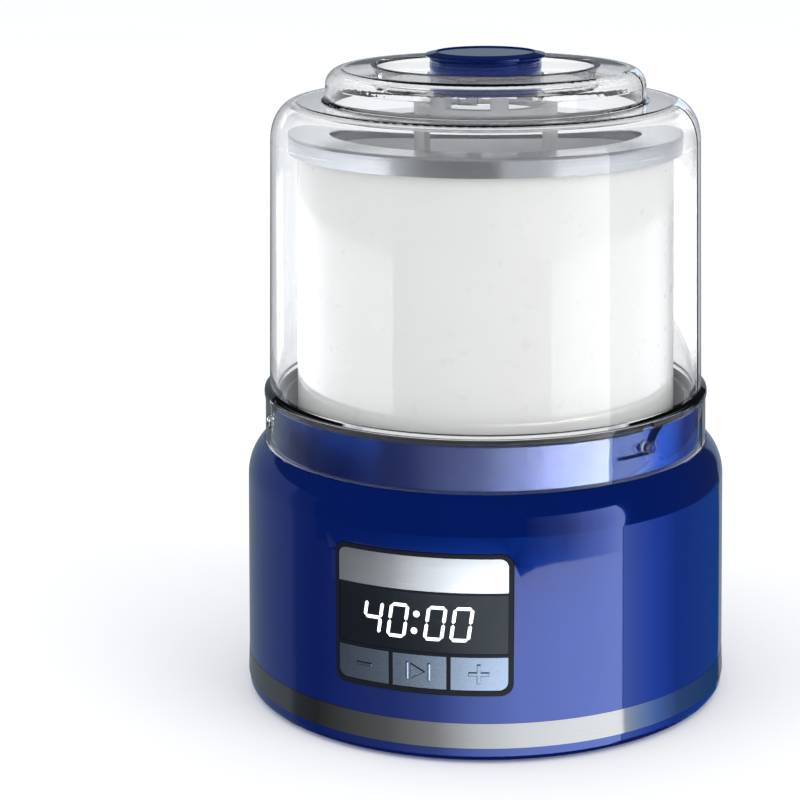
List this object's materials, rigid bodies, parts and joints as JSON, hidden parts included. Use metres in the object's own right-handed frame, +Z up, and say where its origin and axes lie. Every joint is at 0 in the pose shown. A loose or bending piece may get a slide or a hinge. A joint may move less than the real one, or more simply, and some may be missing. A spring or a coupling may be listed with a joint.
{
  "type": "frozen yogurt maker",
  "caption": "Counter-top frozen-yogurt and ice-cream maker: powered base with timer panel, spinning freezer bowl, fixed paddle, clear lid and fill cap.",
  "frame": {"origin": "on the surface that it stands on, under the centre of the bowl's axis", "axes": "+Z up along the bowl's axis; the control panel faces -Y; +X is to the right seen from the front"},
  "size_m": [0.204, 0.204, 0.2683],
  "materials": {
    "blue_plastic": "high gloss moulded, cobalt blue",
    "trim_steel": "brushed band",
    "black_plastic": "satin black",
    "silver_strip": "mirror-like silver",
    "button_silver": "satin metallic",
    "smoked_window": "smoked gloss",
    "lit_digits": "lit white",
    "rubber": "matt",
    "charcoal_plastic": "fine texture",
    "circuit_board": "solder mask",
    "component_black": "matt",
    "screw_steel": "zinc plated",
    "bearing_bronze": "sintered",
    "gear_nylon": "satin natural nylon",
    "motor_steel": "plated",
    "magnet": "sintered",
    "copper_winding": "enamelled",
    "clear_plastic": "clear moulded",
    "white_plastic": "satin white",
    "silver_rim": "satin silver",
    "liner_aluminium": "spun, satin",
    "coolant_gel": "sealed gel",
    "paddle_plastic": "natural translucent",
    "silicone": "charcoal silicone"
  },
  "bodies": {
    "base": {"base_housing": "blue_plastic", "trim_band": "trim_steel", "bottom_cover": "blue_plastic", "rubber_feet": "rubber", "bottom_screws": "screw_steel", "panel_bezel": "black_plastic", "panel_strip": "silver_strip", "timer_digits": "lit_digits", "display_window": "smoked_window", "tact_switches": "component_black", "display_module": "component_black", "control_board": "circuit_board", "board_screws": "screw_steel", "bowl_well": "charcoal_plastic", "shaft_seal": "rubber", "gear_plate": "motor_steel", "gearbox_case": "component_black", "gearbox_screws": "screw_steel", "shaft_bushes": "bearing_bronze", "idler_axle": "screw_steel", "motor_can": "motor_steel", "motor_magnets": "magnet", "motor_screws": "screw_steel", "power_board": "circuit_board", "power_transformer": "component_black", "filter_capacitors": "component_black", "cord_gland": "rubber"},
    "drive_hub": {"output_gear": "gear_nylon", "drive_shaft": "screw_steel", "drive_dog": "charcoal_plastic"},
    "idler": {"idler_gear": "gear_nylon"},
    "motor_rotor": {"motor_armature": "copper_winding", "motor_shaft": "screw_steel", "motor_pinion": "bearing_bronze"},
    "button_minus": {"button_minus": "button_silver"},
    "button_start": {"button_start": "button_silver"},
    "button_plus": {"button_plus": "button_silver"},
    "paddle": {"paddle": "paddle_plastic"},
    "bowl": {"bowl_shell": "white_plastic", "bowl_liner": "liner_aluminium", "coolant": "coolant_gel", "bowl_rim": "silver_rim"},
    "seal": {"lid_seal": "silicone"},
    "lid": {"lid": "clear_plastic"},
    "fill_cap": {"fill_cap": "blue_plastic"}
  },
  "joints": [
    {"name": "bowl_lift", "type": "slide", "parent": "base", "child": "paddle", "axis": [0, 0, 1], "range_m": [0, 0.08]},
    {"name": "bowl_spin", "type": "hinge", "parent": "paddle", "child": "bowl", "pos_m": [0, 0, 0.082], "axis": [0, 0, 1], "continuous": true},
    {"name": "hub_spin", "type": "hinge", "parent": "base", "child": "drive_hub", "pos_m": [0, 0, 0.062], "axis": [0, 0, 1], "continuous": true},
    {"name": "idler_spin", "type": "hinge", "parent": "base", "child": "idler", "pos_m": [0, 0.054, 0.055], "axis": [0, 0, 1], "continuous": true},
    {"name": "motor_spin", "type": "hinge", "parent": "base", "child": "motor_rotor", "pos_m": [0.02546, 0.02854, 0.03], "axis": [0, 0, 1], "continuous": true},
    {"name": "lid_twist", "type": "hinge", "parent": "paddle", "child": "seal", "pos_m": [0, 0, 0.128], "axis": [0, 0, 1], "range_deg": [-8.5, 0]},
    {"name": "lid_lift", "type": "slide", "parent": "seal", "child": "lid", "axis": [0, 0, 1], "range_m": [0, 0.15]},
    {"name": "cap_lift", "type": "slide", "parent": "lid", "child": "fill_cap", "axis": [0, 0, 1], "range_m": [0, 0.04]},
    {"name": "button_minus_press", "type": "slide", "parent": "base", "child": "button_minus", "axis": [0, 1, 0], "range_m": [0, 0.0008], "stiffness_N_per_m": 1500, "springref_m": -0.0008},
    {"name": "button_start_press", "type": "slide", "parent": "base", "child": "button_start", "axis": [0, 1, 0], "range_m": [0, 0.0008], "stiffness_N_per_m": 1500, "springref_m": -0.0008},
    {"name": "button_plus_press", "type": "slide", "parent": "base", "child": "button_plus", "axis": [0, 1, 0], "range_m": [0, 0.0008], "stiffness_N_per_m": 1500, "springref_m": -0.0008}
  ],
  "couplings": [
    {"joint": "hub_spin", "follows": "bowl_spin", "ratio": 1},
    {"joint": "idler_spin", "follows": "bowl_spin", "ratio": -5},
    {"joint": "motor_spin", "follows": "bowl_spin", "ratio": 25}
  ]
}
